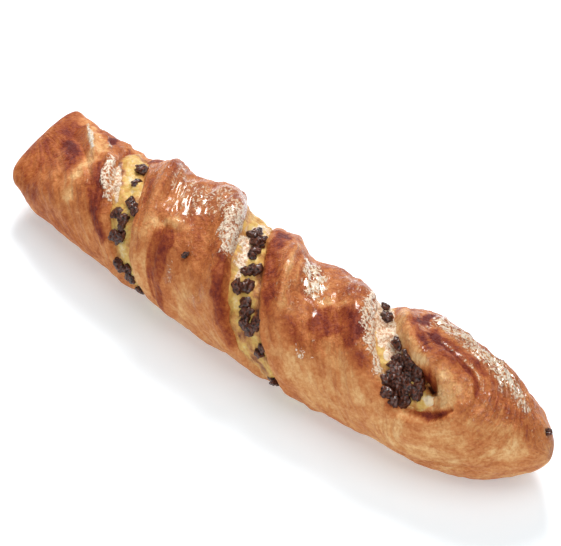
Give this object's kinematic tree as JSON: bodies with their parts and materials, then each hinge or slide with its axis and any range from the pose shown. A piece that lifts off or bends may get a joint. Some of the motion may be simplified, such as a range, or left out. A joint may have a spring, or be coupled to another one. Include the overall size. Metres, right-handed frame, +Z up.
{
  "type": "chocolate chip twist pastry",
  "caption": "Long twisted pastry of glazed laminated dough, with custard and dark chips showing where its cut edges wind round it.",
  "frame": {"origin": "middle of the resting surface, under the middle of the pastry's length and width", "axes": "+X along the twist from the flattened end to the round one, +Y across it, +Z up"},
  "size_m": [0.212, 0.047, 0.0417],
  "materials": {
    "baked_dough": "egg-glazed baked dough, golden brown",
    "custard": "baked custard, satin",
    "chocolate": "dark chocolate chip, glossy"
  },
  "bodies": {
    "root": {"pastry_dough": "baked_dough", "custard_filling": "custard"}
  },
  "joints": []
}
